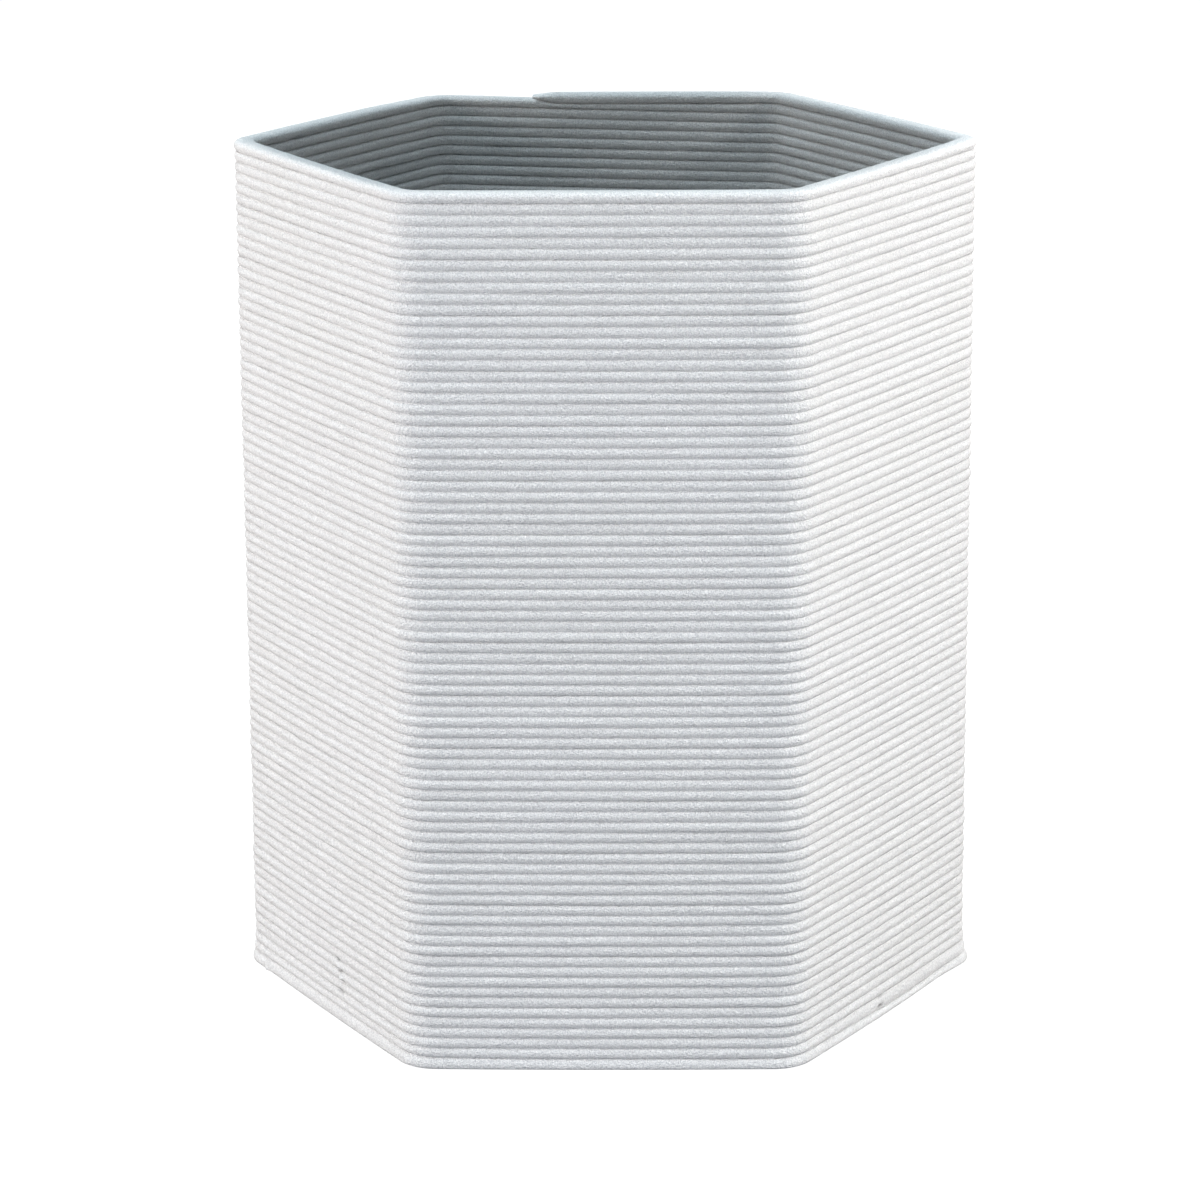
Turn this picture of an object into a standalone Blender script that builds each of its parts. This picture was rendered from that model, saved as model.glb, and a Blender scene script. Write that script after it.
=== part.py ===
"""Hexagonal open vessel laid up from one thick extruded polymer bead: wall courses, floor layers and rim."""

import math

import bmesh
import bpy

MM = 0.001

# Courses
COURSE_COUNT = 82
COURSE_HEIGHT = 3.0 * MM
BEAD_WIDTH = 6.0 * MM
GROOVE_DEPTH = 0.7 * MM
HEIGHT = COURSE_COUNT * COURSE_HEIGHT
HALF_COURSE = COURSE_HEIGHT / 2

# Hexagonal outline, measured over the bead crests
SIDES = 6
SIDE_DEG = 360 / SIDES
ACROSS_FLATS = 186.0 * MM
CORNER_RADIUS = 12.0 * MM
CORNER_STEPS = 2

# First course, squeezed wider against the ground; the spread fades to a share of it by mid height
FOOT_FLARE = 0.8 * MM
FLARE_MID_SHARE = 0.3

# Fused joints are modelled as hairline gaps
JOINT_GAP = 0.3 * MM

# Last course: it ends on the rear side in a tapered tip, over the climbing course below
TIP_X = -20.0 * MM
TIP_LENGTH = 4.5 * MM
TIP_DROP = HALF_COURSE

# Floor
FLOOR_GROOVE = 0.6 * MM
FLOOR_CORNER_RADIUS = 2.0 * MM

POLYMER_WHITE = (0.79, 0.80, 0.81, 1.0)
POLYMER_ROUGHNESS = 0.55

# Points nearer than this are one vertex
MERGE = 0.0001 * MM

# Cutters reach past the solid that they cut by this much
OVERSHOOT = 1.0 * MM

FLAT_HALF = ACROSS_FLATS / 2
INNER_FLAT_HALF = FLAT_HALF - BEAD_WIDTH
INNER_CORNER_RADIUS = CORNER_RADIUS - BEAD_WIDTH
HALF_SIDE_RAD = math.radians(SIDE_DEG / 2)
SIDE_END_X = (FLAT_HALF - CORNER_RADIUS) * math.tan(HALF_SIDE_RAD)
REAR_INNER_Y = FLAT_HALF - CORNER_RADIUS - BEAD_WIDTH
FIRST_CORNER_DEG = 120


def clear_scene():
    for thing in list(bpy.data.objects):
        bpy.data.objects.remove(thing, do_unlink=True)


def hexagon(flat_half, corner_radius):
    """Rounded hexagon, counter-clockwise from the rear left corner, with one side facing -Y."""
    reach = (flat_half - corner_radius) / math.cos(HALF_SIDE_RAD)
    points = []
    for corner in range(SIDES):
        middle = FIRST_CORNER_DEG + SIDE_DEG * corner
        centre = (
            reach * math.cos(math.radians(middle)),
            reach * math.sin(math.radians(middle)),
        )
        for step in range(CORNER_STEPS + 1):
            turn = math.radians(middle + SIDE_DEG * (step / CORNER_STEPS - 0.5))
            points.append(
                (
                    centre[0] + corner_radius * math.cos(turn),
                    centre[1] + corner_radius * math.sin(turn),
                )
            )
    return points


def polymer(name):
    material = bpy.data.materials.new(name)
    material.use_nodes = True
    shader = material.node_tree.nodes["Principled BSDF"]
    shader.inputs["Base Color"].default_value = POLYMER_WHITE
    shader.inputs["Roughness"].default_value = POLYMER_ROUGHNESS
    shader.inputs["Metallic"].default_value = 0.0
    return material


def finish(name, mesh):
    made = bpy.data.meshes.new(name)
    bmesh.ops.recalc_face_normals(mesh, faces=mesh.faces)
    mesh.to_mesh(made)
    mesh.free()
    thing = bpy.data.objects.new(name, made)
    thing.data.materials.append(polymer(name + "_polymer"))
    bpy.context.scene.collection.objects.link(thing)
    return thing


def course_rows(low, high, climb):
    """Heights and groove depths up a wall side; the courses are raised by climb, a share of a course."""
    rows = []
    for half in range(-2, 2 * COURSE_COUNT + 3):
        height = (half / 2 + climb) * COURSE_HEIGHT
        depth = GROOVE_DEPTH if half % 2 == 0 else 0.0
        if height <= low:
            level = low
        elif height >= high:
            level = high
        else:
            level = height
        if level != height:
            phase = (level / COURSE_HEIGHT - climb) % 1.0
            depth = GROOVE_DEPTH * abs(1.0 - 2.0 * phase)
        rows.append((level, depth, depth))
    return rows


class Shell:
    """A closed tube between an outer and an inner hexagon, built station by station."""

    def __init__(self):
        self.mesh = bmesh.new()
        self.known = {}

    def column(self, station, rows):
        """Vertices up the outside and up the inside of one station of the outline."""
        outer, inner = [], []
        for level, cut_out, cut_in in rows:
            outer.append(self.vertex(station, "outer", level, cut_out))
            inner.append(self.vertex(station, "inner", level, cut_in))
        return outer, inner

    def vertex(self, station, side, level, cut):
        key = (station, side, round(level / MERGE))
        if key not in self.known:
            if side == "outer":
                ring = hexagon(FLAT_HALF - cut, CORNER_RADIUS - cut)
            else:
                ring = hexagon(INNER_FLAT_HALF + cut, INNER_CORNER_RADIUS + cut)
            self.known[key] = self.mesh.verts.new((*ring[station], level))
        return self.known[key]

    def face(self, *corners):
        kept = []
        for corner in corners:
            if corner not in kept:
                kept.append(corner)
        if len(kept) > 2:
            self.mesh.faces.new(kept)

    def side(self, left, right):
        """Faces between two neighbouring columns, with the top and bottom caps."""
        for wall in (0, 1):
            for row in range(len(left[wall]) - 1):
                self.face(
                    left[wall][row],
                    right[wall][row],
                    right[wall][row + 1],
                    left[wall][row + 1],
                )
        for row in (0, -1):
            self.face(left[0][row], left[1][row], right[1][row], right[0][row])


def tube(name, rows_at):
    """A wall round the whole outline. rows_at(climb) gives its rows; they climb one course on the rear side."""
    shell = Shell()
    count = SIDES * (CORNER_STEPS + 1)
    columns = [shell.column(station, rows_at(0.0)) for station in range(count)]
    for station in range(count - 1):
        shell.side(columns[station], columns[station + 1])
    shell.side(columns[-1], shell.column(0, rows_at(1.0)))
    return finish(name, shell.mesh)


def prism(name, outline_xz, near_y, far_y):
    """A hidden cutter: a polygon in the XZ plane, extruded along Y."""
    mesh = bmesh.new()
    near = [mesh.verts.new((x, near_y, z)) for x, z in outline_xz]
    far = [mesh.verts.new((x, far_y, z)) for x, z in outline_xz]
    mesh.faces.new(near)
    mesh.faces.new(list(reversed(far)))
    for index in range(len(near)):
        after = (index + 1) % len(near)
        mesh.faces.new((near[index], far[index], far[after], near[after]))
    cutter = finish(name, mesh)
    cutter.hide_render = True
    cutter.display_type = "WIRE"
    return cutter


def cut(thing, cutter):
    modifier = thing.modifiers.new(cutter.name, "BOOLEAN")
    modifier.operation = "DIFFERENCE"
    modifier.solver = "EXACT"
    modifier.object = cutter


def add_base_course():
    """The flat first loop on the ground, flared at its foot."""

    def rows(_climb):
        return [
            (0.0, -FOOT_FLARE, 0.0),
            (HALF_COURSE, -FLARE_MID_SHARE * FOOT_FLARE, 0.0),
            (COURSE_HEIGHT, GROOVE_DEPTH, GROOVE_DEPTH),
        ]

    return tube("base_course", rows)


def add_wall_bead():
    """The climbing bead between the first and last loops, up to and over the last loop's tip."""
    wall = tube(
        "wall_bead",
        lambda climb: course_rows(COURSE_HEIGHT + JOINT_GAP, HEIGHT, climb),
    )
    shoulder = HEIGHT - COURSE_HEIGHT - JOINT_GAP
    clear = 2 * FLAT_HALF
    above = HEIGHT + COURSE_HEIGHT
    cut(
        wall,
        prism(
            "front_rim_clearance",
            [(-clear, shoulder), (clear, shoulder), (clear, above), (-clear, above)],
            -clear,
            REAR_INNER_Y,
        ),
    )
    cut(
        wall,
        prism(
            "rear_rim_clearance",
            [
                (-clear, shoulder),
                (-SIDE_END_X, shoulder),
                (-SIDE_END_X, HEIGHT - JOINT_GAP),
                (TIP_X, HEIGHT - TIP_DROP),
                (TIP_X + TIP_LENGTH, shoulder),
                (clear, shoulder),
                (clear, above),
                (-clear, above),
            ],
            REAR_INNER_Y - OVERSHOOT,
            clear,
        ),
    )
    return wall


def add_rim_course():
    """The flat last loop, open on the rear side between its start and its tapered tip."""

    def rows(_climb):
        low = HEIGHT - COURSE_HEIGHT
        return [
            (low, GROOVE_DEPTH, GROOVE_DEPTH),
            (low + HALF_COURSE, 0.0, 0.0),
            (HEIGHT, GROOVE_DEPTH, GROOVE_DEPTH),
        ]

    rim = tube("rim_course", rows)
    below = HEIGHT - COURSE_HEIGHT - OVERSHOOT
    above = HEIGHT + OVERSHOOT
    lean = TIP_LENGTH / (COURSE_HEIGHT - TIP_DROP)
    tip = TIP_X + 2 * JOINT_GAP
    cut(
        rim,
        prism(
            "tip_clearance",
            [
                (-SIDE_END_X - JOINT_GAP, below),
                (tip + TIP_LENGTH + lean * OVERSHOOT, below),
                (tip, HEIGHT - TIP_DROP),
                (tip, above),
                (-SIDE_END_X - JOINT_GAP, above),
            ],
            REAR_INNER_Y,
            2 * FLAT_HALF,
        ),
    )
    return rim


def add_floor_layer(name, low, beaded_top):
    """One layer of bead laid in closing hexagons; the visible layer shows the joints between them."""
    mesh = bmesh.new()
    edge = INNER_FLAT_HALF - JOINT_GAP
    high = low + COURSE_HEIGHT - JOINT_GAP
    loops = [(edge, low), (edge, high - FLOOR_GROOVE)]
    if beaded_top:
        turns = int(edge / BEAD_WIDTH)
        for half in range(1, 2 * turns):
            level = high if half % 2 else high - FLOOR_GROOVE
            loops.append((edge - half * BEAD_WIDTH / 2, level))
    else:
        loops.append((edge - FLOOR_GROOVE, high))
    rings = []
    for half, level in loops:
        radius = max(FLOOR_CORNER_RADIUS, INNER_CORNER_RADIUS - (INNER_FLAT_HALF - half))
        rings.append([mesh.verts.new((x, y, level)) for x, y in hexagon(half, radius)])
    for below, above in zip(rings, rings[1:]):
        for index in range(len(below)):
            after = (index + 1) % len(below)
            mesh.faces.new((below[index], below[after], above[after], above[index]))
    mesh.faces.new(list(reversed(rings[0])))
    mesh.faces.new(rings[-1])
    return finish(name, mesh)


def main():
    clear_scene()
    add_base_course()
    add_floor_layer("floor_first_layer", 0.0, False)
    add_floor_layer("floor_second_layer", COURSE_HEIGHT, True)
    add_wall_bead()
    add_rim_course()


main()
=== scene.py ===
"""Looks of the hexagonal printed vessel: its bead course by course, floor, studio and camera."""

import math

import bpy
import numpy as np
from mathutils import Matrix, Vector


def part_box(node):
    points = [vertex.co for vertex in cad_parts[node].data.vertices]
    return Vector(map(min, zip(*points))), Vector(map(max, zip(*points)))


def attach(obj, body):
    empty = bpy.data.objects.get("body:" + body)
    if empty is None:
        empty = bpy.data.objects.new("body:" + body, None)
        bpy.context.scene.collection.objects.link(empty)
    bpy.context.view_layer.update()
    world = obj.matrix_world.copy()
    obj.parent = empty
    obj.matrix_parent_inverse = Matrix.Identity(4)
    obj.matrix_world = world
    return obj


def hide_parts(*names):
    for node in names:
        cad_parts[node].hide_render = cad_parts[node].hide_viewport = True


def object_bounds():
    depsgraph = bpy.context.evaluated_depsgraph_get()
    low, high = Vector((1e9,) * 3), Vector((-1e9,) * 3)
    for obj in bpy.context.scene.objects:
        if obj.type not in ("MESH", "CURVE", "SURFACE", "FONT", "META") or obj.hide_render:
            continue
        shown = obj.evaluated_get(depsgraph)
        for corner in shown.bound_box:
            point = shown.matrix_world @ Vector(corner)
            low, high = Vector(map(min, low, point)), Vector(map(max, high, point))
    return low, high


MM = 0.001
SIXTH = math.radians(60)

# Corners by their direction from +X, in degrees; the first is where the first arc of a turn lies
FIRST_CORNER, LEFT_CORNER, FRONT_RIGHT_CORNER, RIGHT_CORNER = 120, 180, 300, 0

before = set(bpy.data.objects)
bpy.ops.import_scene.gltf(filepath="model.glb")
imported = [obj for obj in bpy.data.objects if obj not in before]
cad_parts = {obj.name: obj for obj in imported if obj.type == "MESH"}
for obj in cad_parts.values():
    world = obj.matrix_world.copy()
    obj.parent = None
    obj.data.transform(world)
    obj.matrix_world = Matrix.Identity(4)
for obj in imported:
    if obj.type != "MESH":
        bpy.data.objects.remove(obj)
cad_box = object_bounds()

# Sizes of the frame that the looks follow
HEIGHT = cad_box[1].z
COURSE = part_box("base_course")[1].z
COURSES = round(HEIGHT / COURSE)
WALL_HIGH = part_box("wall_bead")[1]
FLOOR_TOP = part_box("floor_second_layer")[1]
FLAT_HALF = WALL_HIGH.y
JOINT_GAP = 0.3 * MM
BEAD = FLAT_HALF - FLOOR_TOP.y - JOINT_GAP
SECANT = 1 / math.cos(SIXTH / 2)
CORNER = (FLAT_HALF * SECANT - WALL_HIGH.x) / (SECANT - 1)

# The bead's centreline round one turn: six straights and six corner arcs
LINE_FLAT = FLAT_HALF - BEAD / 2
LINE_CORNER = CORNER - BEAD / 2
STRAIGHT = 2 * (LINE_FLAT - LINE_CORNER) * math.tan(SIXTH / 2)
ARC = LINE_CORNER * SIXTH
SIDE = STRAIGHT + ARC
TURN = 6 * SIDE

# How far each side stands out of its chord
SIDE_BOW = 0.6 * MM

# The grooves between courses: a wide bowl and a narrow crease, shallower beside a thin course,
# and deeper by INNER_GROOVE on the inside
GROOVE = 0.9 * MM
INNER_GROOVE = 1.25
GROOVE_BOWL = 0.6
CREASE_POWER = 9
THIN_COURSE = 0.3

# A course's sway and width drift fade towards its joints, by these powers
SWAY_POWER = 6
FLOW_POWER = 3

# The climb of one course on the rear side; the first wall turn starts there as a wedge
CLIMB_LENGTH = 106 * MM
CLIMB_START_RATE = 0.72
WEDGE_THINNEST = 0.1

# The end of the bead, its tail, which lies on the last climbing stretch
TAIL_END = 70 * MM
TAIL_TAPER = 8 * MM
TAIL_LIFT = 0.5
TAIL_DROOP = 0.25
TAIL_MARGIN = 1 * MM
FUSED = 5 * MM
FUSED_START = 0.25
END_ROUND = 0.4
END_WIDTH = 0.45

# The free top of the last turn
LEAD_DROOP = 0.13
LEAD_FADE = 28 * MM
CROWN_ROUND = 1.6 * MM
CROWN_RISE = 0.12 * MM
CROWN_POWER = 2.4
CROWN_LIMIT = 0.985

# The first course's thickness, in courses: a swell after the left corner and a pinch before the
# right one, each with its distance from the corner and its reach, in sides
BASE_SWELL, SWELL_PLACE, SWELL_REACH = 0.3, 0.55, 0.85
BASE_PINCH, PINCH_PLACE, PINCH_REACH = 0.42, 0.35, 0.65

# The outward spread of the foot
FOOT_SPREAD = 0.8 * MM
FOOT_DECAY = 2.4 * MM
CORNER_SPREAD = 1.3 * MM
CORNER_DECAY = 3.6 * MM
CORNER_SPREAD_WIDTH = 22 * MM
LEFT_SPREAD = 0.35

# The floor's joints, on the faces that show, and the corners of its hexagons
LOWER_SEAM, LOWER_SEAM_STEPS = 0.3 * MM, 6
UPPER_SEAM, UPPER_SEAM_STEPS = 0.7 * MM, 8
FLOOR_CORNER = 2 * MM
FLOOR_CORNER_SHARE = 0.3

# Patches of marks on the lowest courses: the corner before a patch, the distance from there to
# its middle, its half length, and for each mark its place along the patch, height, length,
# thickness and relief
PATCHES = (
    (LEFT_CORNER, 61.0 * MM, 5 * MM, (
        (1.5 * MM, 13.7 * MM, 0.9 * MM, 0.5 * MM, 1.1 * MM),
        (1.0 * MM, 12.6 * MM, 1.5 * MM, 0.4 * MM, -1.2 * MM),
        (-0.5 * MM, 15.4 * MM, 1.4 * MM, 0.45 * MM, -1.2 * MM),
        (-0.4 * MM, 16.2 * MM, 1.3 * MM, 0.35 * MM, 0.6 * MM),
        (-1.6 * MM, 18.2 * MM, 1.0 * MM, 0.45 * MM, -0.5 * MM),
        (0.2 * MM, 9.3 * MM, 1.7 * MM, 0.45 * MM, -0.5 * MM),
    )),
    (LEFT_CORNER, 11.5 * MM, 2 * MM, (
        (0.0, 0.4 * MM, 0.8 * MM, 0.7 * MM, 0.5 * MM),
    )),
    (FRONT_RIGHT_CORNER, 47.0 * MM, 5 * MM, (
        (-0.5 * MM, 3.4 * MM, 1.5 * MM, 0.45 * MM, -0.6 * MM),
        (0.5 * MM, 5.9 * MM, 2.2 * MM, 0.35 * MM, -0.3 * MM),
    )),
)
MARK_STEP = 0.4 * MM
# Pit depth at which the painted shade in the marks is at its darkest
PIT_SHADE_DEPTH = 0.5 * MM

# Mesh fineness
STRAIGHT_STEPS = 64
ARC_STEPS = 14
STATION_MARGIN = 0.3 * MM
PROFILE_STEPS = 10
TOP_STEPS = 6
CORNER_POINTS = 12
LIFT = 5


# ---------------------------------------------------------------- bead path


def corner_at(degrees):
    """Distance along the turn to the middle of a corner arc, given its direction from +X."""
    return ((degrees - FIRST_CORNER) % 360) / 60 * SIDE + STRAIGHT + ARC / 2


def station_list(start, end):
    """Distances along the bead: dense on the corner arcs, and denser in the marked patches."""
    first, last = int(start // SIDE) - 1, int(end // SIDE) + 2
    straight = np.linspace(0, STRAIGHT, STRAIGHT_STEPS, endpoint=False)
    arc = np.linspace(STRAIGHT, SIDE, ARC_STEPS, endpoint=False)
    one_side = np.concatenate([straight, arc])
    stations = np.concatenate([side * SIDE + one_side for side in range(first, last)])
    for corner, distance, reach, _marks in PATCHES:
        middle = corner_at(corner) + distance
        stations = stations[np.abs(stations - middle) > reach]
        dense = np.arange(middle - reach, middle + reach, MARK_STEP)
        stations = np.concatenate([stations, dense])
    stations.sort()
    low, high = start + STATION_MARGIN, end - STATION_MARGIN
    inside = stations[(stations > low) & (stations < high)]
    return np.concatenate([[start], inside, [end]])


def centreline(along):
    """Points and outward normals at distances along a turn.

    A turn starts at the rear side's right end, as seen from the front, and runs anticlockwise.
    """
    along = np.mod(along, TURN)
    side = np.floor(along / SIDE)
    rest = along - side * SIDE
    on_arc = rest > STRAIGHT
    facing = math.pi / 2 + SIXTH * side
    turned = np.where(on_arc, (rest - STRAIGHT) / LINE_CORNER, 0.0)
    normal = np.stack([np.cos(facing + turned), np.sin(facing + turned)], -1)
    out = np.stack([np.cos(facing), np.sin(facing)], -1)
    sideways = np.stack([-np.sin(facing), np.cos(facing)], -1)
    on_line = out * LINE_FLAT + sideways * (rest - STRAIGHT / 2)[..., None]
    reach = (LINE_FLAT - LINE_CORNER) * SECANT
    corner = np.stack([np.cos(facing + SIXTH / 2), np.sin(facing + SIXTH / 2)], -1)
    on_bend = corner * reach + normal * LINE_CORNER
    return np.where(on_arc[..., None], on_bend, on_line), normal


def side_bow(along):
    """How far a side stands out of its chord; the corners are drawn in, to keep the line smooth."""
    rest = np.mod(along, SIDE)
    out = SIDE_BOW * (1 - (2 * rest / STRAIGHT - 1) ** 2)
    turned = (rest - STRAIGHT) / ARC
    dip = 4 * SIDE_BOW * ARC / STRAIGHT * turned * (1 - turned)
    return np.where(rest > STRAIGHT, -dip, out)


class Wander:
    """Smooth random drift along the whole bead, in metres."""

    def __init__(self, seed, spacing, size):
        count = int((COURSES + 3) * TURN / spacing) + 4
        self.spacing = spacing
        self.knots = size * np.random.default_rng(seed).standard_normal(count)

    def at(self, laid):
        place = np.maximum(laid / self.spacing + 1, 0)
        low = np.floor(place).astype(int)
        share = place - low
        share = share * share * (3 - 2 * share)
        return self.knots[low] * (1 - share) + self.knots[low + 1] * share


# Sideways sway, change of width, and sag of the joints: each a long, a middle and a short drift
SWAYS = (
    Wander(3, 55 * MM, 0.07 * MM),
    Wander(4, 14 * MM, 0.025 * MM),
    Wander(5, 4.5 * MM, 0.012 * MM),
)
FLOWS = (
    Wander(6, 38 * MM, 0.05 * MM),
    Wander(7, 8 * MM, 0.018 * MM),
)
SAGS = (
    Wander(8, 47 * MM, 0.025 * MM),
    Wander(9, 9 * MM, 0.015 * MM),
    Wander(10, 3.0 * MM, 0.012 * MM),
)


def drift(wanders, turn, along):
    """The sum of some drifts at places on a turn."""
    laid = turn * TURN + along
    return sum(wander.at(laid) for wander in wanders)


# ---------------------------------------------------------------- course levels


def smooth(value):
    """0 up to 0, 1 from 1 on, and an easy curve between."""
    value = np.clip(value, 0, 1)
    return value * value * (3 - 2 * value)


def climb(along):
    """Share of a course that the bead has climbed since the turn began."""
    share = np.clip(along / CLIMB_LENGTH, 0, 1)
    return CLIMB_START_RATE * share + (1 - CLIMB_START_RATE) * share**2


def groove_level(turn, along):
    """Height of the joint under a turn of the climbing bead."""
    level = COURSE * (turn - 1 + climb(along))
    return level + drift(SAGS, turn, along)


def near(along, place, width):
    """1 at a place on the turn, falling to 0 beyond a width either side."""
    apart = np.abs(np.mod(along - place + TURN / 2, TURN) - TURN / 2)
    return smooth(1 - apart / width)


def base_top(along):
    """The first course's top: thicker on the left front side, thinner on the right front side."""
    swollen = corner_at(LEFT_CORNER) + SWELL_PLACE * SIDE
    pinched = corner_at(RIGHT_CORNER) - PINCH_PLACE * SIDE
    swell = BASE_SWELL * near(along, swollen, SWELL_REACH * SIDE)
    pinch = BASE_PINCH * near(along, pinched, PINCH_REACH * SIDE)
    return COURSE * (1 + swell - pinch) + drift(SAGS, 0, along)


def wall_bottom(turn, along):
    """The joint under a wall turn; the first one starts as a wedge on the base course."""
    if turn > 1:
        return groove_level(turn, along)
    return np.minimum(base_top(along), groove_level(2, along) - WEDGE_THINNEST * COURSE)


def tail_bottom(along):
    """Underside of the last turn's tail, which lifts over the climbing course as it ends."""
    lift = TAIL_LIFT * (1 - smooth((TAIL_END - along) / TAIL_TAPER))
    return HEIGHT - COURSE * (1 - lift) + drift(SAGS, COURSES - 1, along)


def last_climb_top(along):
    """Top of the last climbing stretch: pressed flat under the tail, then free and a little low."""
    free = HEIGHT - COURSE * (1 - climb(along) + LEAD_DROOP)
    return np.where(along < TAIL_END - TAIL_MARGIN, tail_bottom(along), free)


def rim_bottom(along):
    """Underside of the last turn, from its start just past the rear left corner to its tail."""
    level = HEIGHT - COURSE + drift(SAGS, COURSES - 1, along)
    return np.where(along > TURN, tail_bottom(along - TURN), level)


def rim_top(along):
    """Top of the last turn: a little low where it starts, and drooping at the tail."""
    lead = LEAD_DROOP * (1 - smooth((along - CLIMB_LENGTH) / LEAD_FADE))
    to_end = TURN + TAIL_END - along
    droop = TAIL_DROOP * (1 - smooth(to_end / TAIL_TAPER))
    return HEIGHT - COURSE * (lead + droop)


# ---------------------------------------------------------------- bead meshes


def groove_shape(height_share):
    """How far the bead's flank is drawn in, from 0 at mid height to 1 in the joint."""
    away = np.abs(2 * height_share - 1)
    return GROOVE_BOWL * away**2 + (1 - GROOVE_BOWL) * away**CREASE_POWER


def crown_shape(height_share):
    """The same for a free top: the flank rolls over into the top in a quarter round."""
    upper = np.clip(2 * height_share - 1, 0, 1)
    curve = np.sqrt(1 - np.minimum(upper, CROWN_LIMIT) ** CROWN_POWER)
    rolled = CROWN_ROUND / GROOVE * (1 - curve)
    return np.where(height_share > 0.5, rolled, groove_shape(height_share))


def foot_spread(along, level):
    """Outward spread of the lowest courses, strongest at the right corner."""
    first = FOOT_SPREAD * np.exp(-level / FOOT_DECAY)
    right = CORNER_SPREAD * near(along, corner_at(RIGHT_CORNER), CORNER_SPREAD_WIDTH)
    left_size = LEFT_SPREAD * CORNER_SPREAD
    left = left_size * near(along, corner_at(LEFT_CORNER), CORNER_SPREAD_WIDTH)
    return first + (right + left) * np.exp(-level / CORNER_DECAY)


def joint_depth(turn, along, share):
    """Share of the groove's depth: the tail is fused to the bead under it at its very end."""
    if turn != COURSES - 1:
        return 1.0
    past_end = smooth((TAIL_END - along) / FUSED + FUSED_START)
    under_tail = np.where(along < TAIL_END, past_end, 1.0)
    tail = smooth((TURN + TAIL_END - along) / FUSED + FUSED_START)
    return np.where(share > 0.5, under_tail[:, None], tail[:, None])


def end_width(turn, along):
    """Share of the bead's width: the tail's end is rounded."""
    if turn != COURSES - 1:
        return 1.0
    left = np.clip((TURN + TAIL_END - along) / (END_ROUND * BEAD), 0, 1)
    return END_WIDTH + (1 - END_WIDTH) * np.sqrt(1 - (1 - left) ** 2)


def marks_relief(along, level):
    """Outward relief of the stray polymer and scratches on the lowest courses."""
    relief = np.zeros(np.broadcast(along, level).shape)
    for corner, distance, _reach, marks in PATCHES:
        on = np.mod(along, TURN) - corner_at(corner) - distance
        for place, height, length, thick, size in marks:
            across, up = (on - place) / length, (level - height) / thick
            relief = relief + size * np.exp(-(across**2) - up**2)
    return relief


def paint_pit_shade(thing, along, offset, level):
    """Keeps on the mesh a painted shade for each outer point: darker the deeper its pit among the
    marks.
    """
    pit_darkness = np.clip(-marks_relief(along[:, None], level) / PIT_SHADE_DEPTH, 0, 1) * (offset > 0)
    layer = thing.data.attributes.new("painted_pit_shade", "FLOAT", "POINT")
    layer.data.foreach_set("value", pit_darkness.astype(np.float32).ravel())


def spaced_profile():
    """Shares of a course's height, closer together near its joints."""
    turn = np.linspace(0, math.pi, PROFILE_STEPS + 1)
    return 0.5 - 0.5 * np.cos(turn)


def flank(turn, along, low, high, shape, inward):
    """One course's flank: offsets from the centreline and heights, by station and profile step."""
    share = spaced_profile()[None, :]
    level = low[:, None] + (high - low)[:, None] * share
    sway = drift(SWAYS, turn, along)[:, None]
    above = drift(SWAYS, turn + 1, along)[:, None]
    below = drift(SWAYS, turn - 1, along)[:, None]
    edge = 0.5 * np.abs(2 * share - 1) ** SWAY_POWER
    sway = sway + edge * (np.where(share > 0.5, above, below) - sway)
    depth = GROOVE * np.clip((high - low) / COURSE, THIN_COURSE, 1)[:, None] ** 0.5
    flow = drift(FLOWS, turn, along)[:, None]
    width = BEAD / 2 + flow * (1 - np.abs(2 * share - 1) ** FLOW_POWER)
    drawn = depth * shape(share) * joint_depth(turn, along, share)
    width = width * np.reshape(end_width(turn, along), (-1, 1))
    bowed = side_bow(along)[:, None] + sway
    if inward:
        return bowed - width + INNER_GROOVE * drawn, level
    spread = foot_spread(along[:, None], level) + marks_relief(along[:, None], level)
    return bowed + width - drawn + spread, level


def ring_of(turns, along, levels, crowned):
    """Cross-section rings of a run of turns: up the outside, over the top, down the inside."""
    outside, inside = [], []
    for index, turn in enumerate(turns):
        free = crowned and index == len(turns) - 1
        shape = crown_shape if free else groove_shape
        low, high = levels[index], levels[index + 1]
        keep = slice(0 if index == 0 else 1, None)
        for sides, inward in ((outside, False), (inside, True)):
            offset, level = flank(turn, along, low, high, shape, inward)
            sides.append((offset[:, keep], level[:, keep]))
    out_offset, out_level = (np.concatenate(part, 1) for part in zip(*outside))
    in_offset, in_level = (np.concatenate(part, 1) for part in zip(*inside))
    rise = CROWN_RISE if crowned else 0.0
    across = np.linspace(0, 1, TOP_STEPS + 1)[None, 1:-1]
    top_offset = out_offset[:, -1:] * (1 - across) + in_offset[:, -1:] * across
    top_level = out_level[:, -1:] + rise * (1 - (2 * across - 1) ** 2)
    offset = np.concatenate([out_offset, top_offset, in_offset[:, ::-1]], 1)
    level = np.concatenate([out_level, top_level, in_level[:, ::-1]], 1)
    return offset, level


def sharpen_caps(mesh, caps):
    """Marks the edges round the caps sharp, so that the flanks keep their own shading."""
    loops = [zip(cap.tolist(), np.roll(cap, 1).tolist()) for cap in caps]
    rims = {frozenset(pair) for loop in loops for pair in loop}
    for edge in mesh.edges:
        edge.use_edge_sharp = frozenset(edge.vertices) in rims


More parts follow.
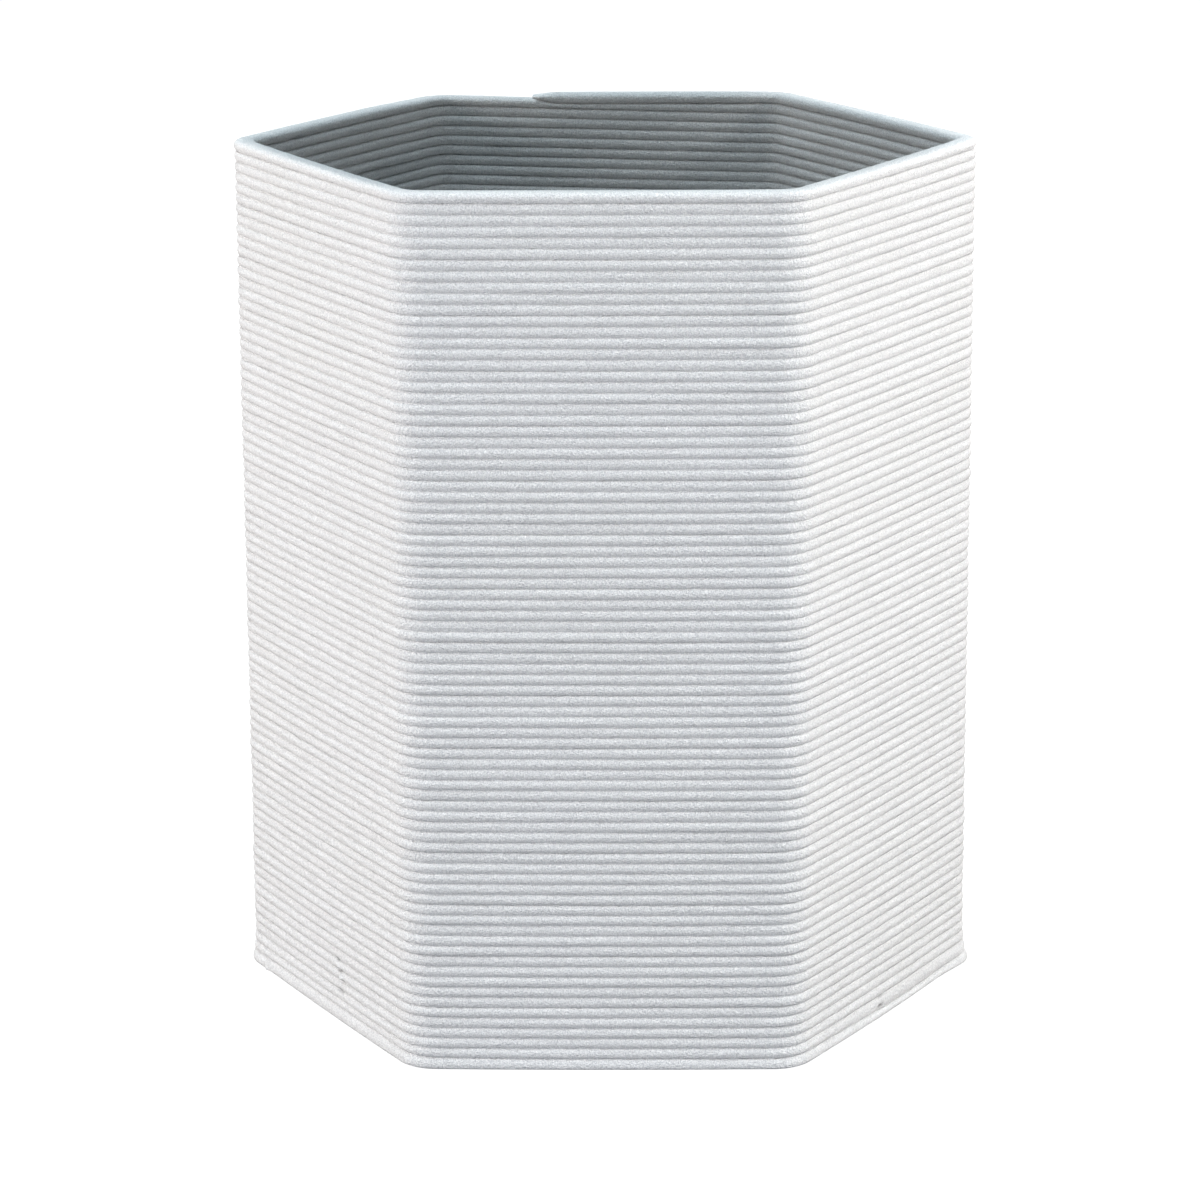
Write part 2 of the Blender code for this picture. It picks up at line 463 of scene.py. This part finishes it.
def mesh_object(name, points, quads, caps):
    """An object from a grid of quads and two end caps, shaded smooth with its caps flat."""
    mesh = bpy.data.meshes.new(name)
    mesh.vertices.add(len(points))
    mesh.vertices.foreach_set("co", points.astype(np.float32).ravel())
    sizes = np.array([4] * len(quads) + [len(cap) for cap in caps], np.int32)
    corners = np.concatenate([quads.ravel(), *caps]).astype(np.int32)
    mesh.loops.add(len(corners))
    mesh.loops.foreach_set("vertex_index", corners)
    mesh.polygons.add(len(sizes))
    mesh.polygons.foreach_set("loop_start", (np.cumsum(sizes) - sizes).astype(np.int32))
    mesh.polygons.foreach_set("use_smooth", np.arange(len(sizes)) < len(quads))
    mesh.update(calc_edges=True)
    sharpen_caps(mesh, caps)
    thing = bpy.data.objects.new(name, mesh)
    bpy.context.scene.collection.objects.link(thing)
    return thing


def swept_bead(name, turns, start, end, edges, crowned=False):
    """A closed bar of one or more courses swept along the path.

    The edges are functions for the heights of its joints, bottom to top.
    """
    along = station_list(start, end)
    levels = [edge(along) for edge in edges]
    offset, level = ring_of(turns, along, levels, crowned)
    place, normal = centreline(along)
    flat = place[:, None, :] + normal[:, None, :] * offset[..., None]
    points = np.concatenate([flat, level[..., None]], -1)
    stations, ring = level.shape
    index = np.arange(stations * ring).reshape(stations, ring)
    here, there = index[:-1], index[1:]
    after = np.roll(np.arange(ring), -1)
    quads = np.stack([here, there, there[:, after], here[:, after]], -1).reshape(-1, 4)
    thing = mesh_object(name, points.reshape(-1, 3), quads, [index[0], index[-1][::-1]])
    paint_pit_shade(thing, along, offset, level)
    return thing


def joint_under(turn):
    """The height of the joint under a wall turn, as a function of the distance along it."""
    return lambda along: wall_bottom(turn, along)


def build_base():
    """The flat first loop."""
    return swept_bead("base_loop", [0], 0.0, TURN, [lambda along: 0 * along, base_top])


def build_wall():
    """The climbing wall in lifts of a few turns, and the stretch that climbs to the rim."""
    lifts = []
    last = COURSES - 2
    for first in range(1, last + 1, LIFT):
        turns = list(range(first, min(first + LIFT, last + 1)))
        edges = [joint_under(turn) for turn in [*turns, turns[-1] + 1]]
        name = f"wall_turns_{turns[0]:02d}_{turns[-1]:02d}"
        lifts.append(swept_bead(name, turns, 0.0, TURN, edges))
    edges = [joint_under(COURSES - 1), last_climb_top]
    name = "wall_last_climb"
    lifts.append(swept_bead(name, [COURSES - 1], 0.0, CLIMB_LENGTH, edges, crowned=True))
    return lifts


def build_rim():
    """The flat last turn, from the end of the climb round to its tapered tail."""
    end = TURN + TAIL_END
    edges = [rim_bottom, rim_top]
    return swept_bead("rim_loop", [COURSES - 1], CLIMB_LENGTH, end, edges, crowned=True)


# ---------------------------------------------------------------- floor


def hexagon(flat_half, corner):
    """A rounded hexagon's points, anticlockwise."""
    reach = (flat_half - corner) * SECANT
    turns = np.linspace(-SIXTH / 2, SIXTH / 2, CORNER_POINTS)
    points = []
    for middle in SIXTH * np.arange(6):
        for turn in turns:
            points.append(
                (
                    reach * math.cos(middle) + corner * math.cos(middle + turn),
                    reach * math.sin(middle) + corner * math.sin(middle + turn),
                )
            )
    return np.array(points)


def floor_layer(name, node, seam_depth, steps, beaded_face):
    """A floor layer: closing hexagons of bead, with joints on its "top" or its "bottom" face."""
    low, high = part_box(node)
    edge = high.y
    if beaded_face == "top":
        face, plain, inwards = high.z, low.z, -1
    else:
        face, plain, inwards = low.z, high.z, 1
    insets, levels = [0.0], [plain]
    for bead in range(int(edge / BEAD)):
        for share in np.linspace(0, 1, steps, endpoint=False):
            insets.append((bead + share) * BEAD)
            levels.append(face + inwards * seam_depth * float(groove_shape(share)))
    rings = []
    for inset, level in zip(insets, levels):
        half = edge - inset
        small = min(FLOOR_CORNER, FLOOR_CORNER_SHARE * half)
        corner = max(small, CORNER - BEAD - JOINT_GAP - inset)
        ring = hexagon(half, corner)
        rings.append(np.column_stack([ring, np.full(len(ring), level)]))
    count = len(rings[0])
    index = np.arange(len(rings) * count).reshape(len(rings), count)
    here, there = index[:-1], index[1:]
    after = np.roll(np.arange(count), -1)
    quads = np.stack([here, here[:, after], there[:, after], there], -1).reshape(-1, 4)
    caps = [index[0][::-1], index[-1]]
    if beaded_face == "bottom":
        quads, caps = quads[:, ::-1], [index[0], index[-1][::-1]]
    return mesh_object(name, np.concatenate(rings), quads, caps)


# ---------------------------------------------------------------- material


class Nodes:
    """A shorthand for building a node tree."""

    def __init__(self, tree):
        self.tree = tree
        self.tree.nodes.clear()

    def add(self, kind, inputs=None, **settings):
        node = self.tree.nodes.new(kind)
        for key, value in settings.items():
            setattr(node, key, value)
        for key, value in (inputs or {}).items():
            self.feed(node.inputs[key], value)
        return node

    def feed(self, socket, value):
        if isinstance(value, bpy.types.NodeSocket):
            self.tree.links.new(value, socket)
        else:
            socket.default_value = value

    def noise(self, place, scale, detail, roughness):
        node = self.add(
            "ShaderNodeTexNoise",
            {"Vector": place, "Scale": scale, "Detail": detail, "Roughness": roughness},
            normalize=True,
        )
        return node.outputs["Fac"]

    def spread(self, value, span, to_low, to_high):
        inputs = {"Value": value, "From Min": span[0], "From Max": span[1]}
        node = self.add("ShaderNodeMapRange", {**inputs, "To Min": to_low, "To Max": to_high})
        return node.outputs["Result"]

    def blend(self, share, first, second):
        node = self.add("ShaderNodeMix", {0: share}, data_type="RGBA", blend_type="MIX")
        self.feed(node.inputs[6], first)
        self.feed(node.inputs[7], second)
        return node.outputs[2]


POLYMER_LIGHT = (0.90, 0.895, 0.89, 1)
POLYMER_DARK = (0.65, 0.65, 0.655, 1)
POLYMER_CREAM = (0.89, 0.885, 0.87, 1)
# Colour of the painted shade in the pits of the marks
PIT_SHADE_COLOUR = (0.22, 0.215, 0.21, 1)

# Each noise's scale, detail and roughness, and the span of its values that is used
SPECKS, SPECK_SPAN = (2800, 0.0, 0.5), (0.25, 0.7)
RELIEF, RELIEF_SPAN = (1700, 1.5, 0.6), (0.3, 0.7)
STREAK, STREAK_SPAN = (60, 3.0, 0.5), (0.3, 0.8)
PATCH, PATCH_SPAN = (14, 2.0, 0.5), (0.3, 0.7)
STREAK_SQUEEZE = (1, 1, 9)
STREAK_SHARE = 0.08
BUMP_DEPTH = 0.6 * MM
ROUGHEST, SMOOTHEST = 0.72, 0.5
POLYMER_IOR = 1.45
POLYMER_SPECULAR = 0.35


def polymer_material():
    """Matte off-white polymer with a mineral filler: fine grain, faint streaks along the bead."""
    material = bpy.data.materials.new("bead_polymer")
    material.use_nodes = True
    nodes = Nodes(material.node_tree)
    place = nodes.add("ShaderNodeTexCoord").outputs["Object"]
    squeezed = nodes.add("ShaderNodeMapping", {"Vector": place, "Scale": STREAK_SQUEEZE})

    specks = nodes.noise(place, *SPECKS)
    grain = nodes.noise(place, *RELIEF)
    streak = nodes.noise(squeezed.outputs["Vector"], *STREAK)
    patch = nodes.noise(place, *PATCH)

    creamy = nodes.spread(patch, PATCH_SPAN, 0.0, 1.0)
    streaky = nodes.spread(streak, STREAK_SPAN, 0.0, STREAK_SHARE)
    speckled = nodes.spread(specks, SPECK_SPAN, 1.0, 0.0)
    tone = nodes.blend(creamy, POLYMER_LIGHT, POLYMER_CREAM)
    tone = nodes.blend(streaky, tone, POLYMER_DARK)
    tone = nodes.blend(speckled, tone, POLYMER_DARK)

    # Painted shade: the pits of the marks are darkened by their depth
    painted_pit_shade = nodes.add("ShaderNodeAttribute", attribute_name="painted_pit_shade").outputs["Fac"]
    tone = nodes.blend(painted_pit_shade, tone, PIT_SHADE_COLOUR)

    relief = {"Height": grain, "Strength": 1.0, "Distance": BUMP_DEPTH}
    bump = nodes.add("ShaderNodeBump", relief).outputs["Normal"]
    roughness = nodes.spread(grain, RELIEF_SPAN, ROUGHEST, SMOOTHEST)
    finish = {"Base Color": tone, "Roughness": roughness, "Normal": bump, "IOR": POLYMER_IOR}
    shader = nodes.add("ShaderNodeBsdfPrincipled", finish)
    shader.inputs["Specular IOR Level"].default_value = POLYMER_SPECULAR
    nodes.add("ShaderNodeOutputMaterial", {"Surface": shader.outputs["BSDF"]})
    return material


# ---------------------------------------------------------------- studio

WHITE = (1, 1, 1, 1)
FLOOR_HALF = 6.0
FLOOR_DROP = 0.2 * MM
FLOOR_TONE = (0.25, 0.25, 0.25, 1)
FLOOR_GLOW = 0.99
WORLD_COLOUR = (0.9, 0.96, 1, 1)
WORLD_CAST = 0.01

# The grid over the mouth: fully open to light up to one slant, as Layer Weight's Facing counts
# it, and shut from another
GRID_SPAN = (0.2, 0.42)
GRID_LIFT = 10 * MM
GRID_SHIFT = 6 * MM

MIDDLE = (0, 0, 0.12)
WARM = (1.0, 0.955, 0.93)

# Name, place, target, width, height, power, colour
LIGHTS = (
    ("side_low_left", (-1.5, -0.35, 0.22), MIDDLE, 1.4, 0.45, 5.0, WARM),
    ("side_raised_left", (-1.1, -0.26, 0.42), MIDDLE, 1.2, 0.4, 10.7, WARM),
    ("side_low_right", (1.5, -0.35, 0.22), MIDDLE, 1.4, 0.45, 8.0, (1.0, 0.98, 0.955)),
    ("side_raised_right", (0.8, -0.2, 0.62), (0, 0, 0.16), 0.9, 0.35, 7.3, (1.0, 0.975, 0.955)),
    ("front_low", (0, -1.5, 0.12), (0, 0, 0.06), 1.6, 0.22, 11.4, (0.80, 0.865, 0.96)),
    ("rear", (0.2, 1.7, 0.7), MIDDLE, 1.8, 0.5, 12.0, (0.9, 0.96, 1.0)),
    ("overhead", (-0.17, 0, 1.7), (0, 0, 0), 1.6, 1.6, 23.2, (0.77, 0.92, 1.0)),
)

# Sensor and lens in millimetres, the far clip and the place in metres, the turns in degrees
SENSOR = 36.0
LENS = 128.55
CLIP_END = 50
CAMERA_PLACE = (0.0174, -1.2100, 0.4335)
CAMERA_HEADING, CAMERA_TILT, CAMERA_ROLL = 0.92, 14.96, -0.31


def floor_material():
    """Near-white to the camera."""
    material = bpy.data.materials.new("studio_floor")
    material.use_nodes = True
    nodes = Nodes(material.node_tree)
    matte = nodes.add("ShaderNodeBsdfDiffuse", {"Color": FLOOR_TONE})
    glow = nodes.add("ShaderNodeEmission", {"Color": WHITE, "Strength": FLOOR_GLOW})
    both = nodes.add("ShaderNodeAddShader", {0: matte.outputs[0], 1: glow.outputs[0]})
    nodes.add("ShaderNodeOutputMaterial", {"Surface": both.outputs[0]})
    return material


def add_floor():
    """A wide pale floor, which throws no light back on the object."""
    mesh = bpy.data.meshes.new("studio_floor")
    size = FLOOR_HALF
    corners = [(-size, -size, 0), (size, -size, 0), (size, size, 0), (-size, size, 0)]
    mesh.from_pydata(corners, [], [(0, 1, 2, 3)])
    floor = bpy.data.objects.new("studio_floor", mesh)
    floor.location.z = -FLOOR_DROP
    bpy.context.scene.collection.objects.link(floor)
    mesh.materials.append(floor_material())
    floor.visible_diffuse = False
    floor.visible_glossy = False


def grid_material():
    """Lets light through from overhead and stops it from the sides, as a fine grid does."""
    material = bpy.data.materials.new("studio_net")
    material.use_nodes = True
    nodes = Nodes(material.node_tree)
    aslant = nodes.add("ShaderNodeLayerWeight", {"Blend": 0.5}).outputs["Facing"]
    passed = nodes.spread(aslant, GRID_SPAN, 1.0, 0.0)
    shader = nodes.add("ShaderNodeBsdfTransparent", {"Color": passed})
    nodes.add("ShaderNodeOutputMaterial", {"Surface": shader.outputs["BSDF"]})
    return material


def add_grid():
    """A grid held just over the mouth, out of the camera's sight, which darkens the inside."""
    mesh = bpy.data.meshes.new("studio_net")
    ring = hexagon(FLAT_HALF, CORNER)
    corners = [(x, y + GRID_SHIFT, HEIGHT + GRID_LIFT) for x, y in ring]
    mesh.from_pydata(corners, [], [tuple(range(len(ring)))])
    grid = bpy.data.objects.new("studio_net", mesh)
    bpy.context.scene.collection.objects.link(grid)
    mesh.materials.append(grid_material())
    grid.visible_camera = False


def area_light(name, place, target, width, height, power, colour):
    """A rectangular light box at a place, turned towards its target."""
    light = bpy.data.lights.new(name, "AREA")
    light.shape = "RECTANGLE"
    light.size, light.size_y = width, height
    light.energy = power
    light.color = colour
    lamp = bpy.data.objects.new(name, light)
    bpy.context.scene.collection.objects.link(lamp)
    lamp.location = place
    away = Vector(place) - Vector(target)
    lamp.rotation_euler = away.to_track_quat("Z", "Y").to_euler()


def add_surround():
    """White behind the object, which casts almost no light on it."""
    world = bpy.data.worlds.new("studio")
    bpy.context.scene.world = world
    world.use_nodes = True
    nodes = Nodes(world.node_tree)
    seen = nodes.add("ShaderNodeBackground", {"Color": WHITE, "Strength": 1.0})
    cast = nodes.add("ShaderNodeBackground", {"Color": WORLD_COLOUR, "Strength": WORLD_CAST})
    ray = nodes.add("ShaderNodeLightPath").outputs["Is Camera Ray"]
    mixed = nodes.add("ShaderNodeMixShader", {0: ray, 1: cast.outputs[0], 2: seen.outputs[0]})
    nodes.add("ShaderNodeOutputWorld", {"Surface": mixed.outputs[0]})


def add_camera():
    """A long lens above the rim, looking down at the front side."""
    camera = bpy.data.objects.new("camera", bpy.data.cameras.new("camera"))
    bpy.context.scene.collection.objects.link(camera)
    camera.data.sensor_width = SENSOR
    camera.data.lens = LENS
    camera.data.clip_end = CLIP_END
    camera.matrix_world = (
        Matrix.Translation(CAMERA_PLACE)
        @ Matrix.Rotation(math.radians(CAMERA_HEADING), 4, "Z")
        @ Matrix.Rotation(math.pi / 2 - math.radians(CAMERA_TILT), 4, "X")
        @ Matrix.Rotation(math.radians(CAMERA_ROLL), 4, "Z")
    )
    bpy.context.scene.camera = camera


# ---------------------------------------------------------------- assembly


def dress(piece, node, material):
    """Gives a piece its finish and its body, and hides the CAD node that it stands for."""
    piece.data.materials.append(material)
    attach(piece, "root")
    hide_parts(node)


def main():
    bpy.context.scene.view_settings.view_transform = "Standard"
    polymer = polymer_material()
    dress(build_base(), "base_course", polymer)
    for lift in build_wall():
        dress(lift, "wall_bead", polymer)
    dress(build_rim(), "rim_course", polymer)
    node = "floor_first_layer"
    lower = floor_layer("floor_lower_beads", node, LOWER_SEAM, LOWER_SEAM_STEPS, "bottom")
    dress(lower, node, polymer)
    node = "floor_second_layer"
    upper = floor_layer("floor_upper_beads", node, UPPER_SEAM, UPPER_SEAM_STEPS, "top")
    dress(upper, node, polymer)
    add_floor()
    add_grid()
    for light in LIGHTS:
        area_light(*light)
    add_surround()
    add_camera()


main()
